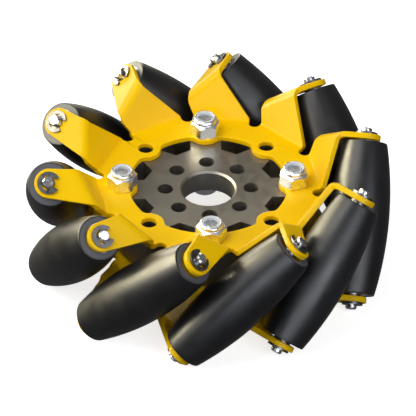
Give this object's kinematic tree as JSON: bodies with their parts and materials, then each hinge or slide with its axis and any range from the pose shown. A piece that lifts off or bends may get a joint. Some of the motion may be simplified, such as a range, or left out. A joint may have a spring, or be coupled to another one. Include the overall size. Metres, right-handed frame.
{
  "type": "mecanum wheel",
  "caption": "Omnidirectional robot wheel: bent yellow side plates on an aluminium hub carry free rubber rollers set at 45 degrees to its axle.",
  "frame": {"origin": "centre of the wheel, halfway through its width, on the bore's axis", "axes": "+Z along the wheel's axis towards the nut side; +X through one of the four bolts"},
  "size_m": [0.096, 0.096, 0.0374],
  "materials": {
    "yellow_powder_coat": "gloss",
    "anodised_aluminium": "satin",
    "zinc_plated_steel": "bright",
    "nylon": "satin",
    "pin_steel": "satin",
    "clip_steel": "oiled",
    "bearing_steel": "polished",
    "black_rubber": "satin",
    "grey_moulded_plastic": "satin"
  },
  "bodies": {
    "wheel_frame": {"hub": "anodised_aluminium", "front_plate": "yellow_powder_coat", "rear_plate": "yellow_powder_coat", "bolts": "zinc_plated_steel", "nuts": "zinc_plated_steel", "nut_inserts": "nylon", "axle_pins": "pin_steel", "front_clips": "clip_steel", "rear_clips": "clip_steel", "front_shims": "clip_steel", "rear_shims": "clip_steel", "bearing_inner_rings": "bearing_steel"},
    "roller_01": {"tyre_01": "black_rubber", "core_01": "grey_moulded_plastic", "bearings_01": "bearing_steel"},
    "roller_02": {"tyre_02": "black_rubber", "core_02": "grey_moulded_plastic", "bearings_02": "bearing_steel"},
    "roller_03": {"tyre_03": "black_rubber", "core_03": "grey_moulded_plastic", "bearings_03": "bearing_steel"},
    "roller_04": {"tyre_04": "black_rubber", "core_04": "grey_moulded_plastic", "bearings_04": "bearing_steel"},
    "roller_05": {"tyre_05": "black_rubber", "core_05": "grey_moulded_plastic", "bearings_05": "bearing_steel"},
    "roller_06": {"tyre_06": "black_rubber", "core_06": "grey_moulded_plastic", "bearings_06": "bearing_steel"},
    "roller_07": {"tyre_07": "black_rubber", "core_07": "grey_moulded_plastic", "bearings_07": "bearing_steel"},
    "roller_08": {"tyre_08": "black_rubber", "core_08": "grey_moulded_plastic", "bearings_08": "bearing_steel"},
    "roller_09": {"tyre_09": "black_rubber", "core_09": "grey_moulded_plastic", "bearings_09": "bearing_steel"},
    "roller_10": {"tyre_10": "black_rubber", "core_10": "grey_moulded_plastic", "bearings_10": "bearing_steel"}
  },
  "joints": [
    {"name": "roller_spin_01", "type": "hinge", "parent": "wheel_frame", "child": "roller_01", "pos_m": [0.02828, -0.02828, 0], "axis": [0.5, 0.5, 0.7071], "continuous": true},
    {"name": "roller_spin_02", "type": "hinge", "parent": "wheel_frame", "child": "roller_02", "pos_m": [0.03951, -0.00626, 0], "axis": [0.1106, 0.6984, 0.7071], "continuous": true},
    {"name": "roller_spin_03", "type": "hinge", "parent": "wheel_frame", "child": "roller_03", "pos_m": [0.03564, 0.01816, 0], "axis": [-0.321, 0.63, 0.7071], "continuous": true},
    {"name": "roller_spin_04", "type": "hinge", "parent": "wheel_frame", "child": "roller_04", "pos_m": [0.01816, 0.03564, 0], "axis": [-0.63, 0.321, 0.7071], "continuous": true},
    {"name": "roller_spin_05", "type": "hinge", "parent": "wheel_frame", "child": "roller_05", "pos_m": [-0.00626, 0.03951, 0], "axis": [-0.6984, -0.1106, 0.7071], "continuous": true},
    {"name": "roller_spin_06", "type": "hinge", "parent": "wheel_frame", "child": "roller_06", "pos_m": [-0.02828, 0.02828, 0], "axis": [-0.5, -0.5, 0.7071], "continuous": true},
    {"name": "roller_spin_07", "type": "hinge", "parent": "wheel_frame", "child": "roller_07", "pos_m": [-0.03951, 0.00626, 0], "axis": [-0.1106, -0.6984, 0.7071], "continuous": true},
    {"name": "roller_spin_08", "type": "hinge", "parent": "wheel_frame", "child": "roller_08", "pos_m": [-0.03564, -0.01816, 0], "axis": [0.321, -0.63, 0.7071], "continuous": true},
    {"name": "roller_spin_09", "type": "hinge", "parent": "wheel_frame", "child": "roller_09", "pos_m": [-0.01816, -0.03564, 0], "axis": [0.63, -0.321, 0.7071], "continuous": true},
    {"name": "roller_spin_10", "type": "hinge", "parent": "wheel_frame", "child": "roller_10", "pos_m": [0.00626, -0.03951, 0], "axis": [0.6984, 0.1106, 0.7071], "continuous": true}
  ]
}
